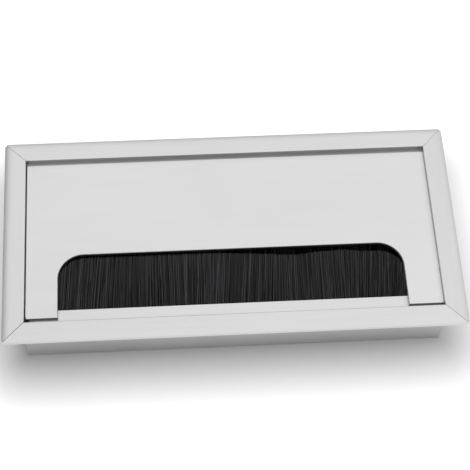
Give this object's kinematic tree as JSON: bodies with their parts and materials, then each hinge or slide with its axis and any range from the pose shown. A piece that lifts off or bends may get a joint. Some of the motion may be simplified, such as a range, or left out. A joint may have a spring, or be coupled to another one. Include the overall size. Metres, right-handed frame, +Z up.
{
  "type": "desk cable grommet",
  "caption": "Rectangular aluminium desk cable grommet: mitred flanged frame with a drop-in lid whose notch is closed by a black strip brush.",
  "frame": {"origin": "centre of the desk cut-out, level with the desk top and the underside of the flange", "axes": "+X along the long rails, to the right as seen from the notch side; +Y away from the notch; +Z up out of the desk"},
  "size_m": [0.16, 0.08, 0.025],
  "materials": {
    "anodised_aluminium": "satin silver anodised",
    "key_nylon": "moulded black",
    "galvanised_steel": "zinc plated",
    "filament_nylon": "black filament"
  },
  "bodies": {
    "root": {"rail_front": "anodised_aluminium", "rail_rear": "anodised_aluminium", "rail_left": "anodised_aluminium", "rail_right": "anodised_aluminium", "lid": "anodised_aluminium", "corner_key_front_left": "key_nylon", "corner_key_front_right": "key_nylon", "corner_key_rear_right": "key_nylon", "corner_key_rear_left": "key_nylon", "brush_backing": "galvanised_steel", "brush_core_wire": "galvanised_steel", "bristles": "filament_nylon"}
  },
  "joints": []
}
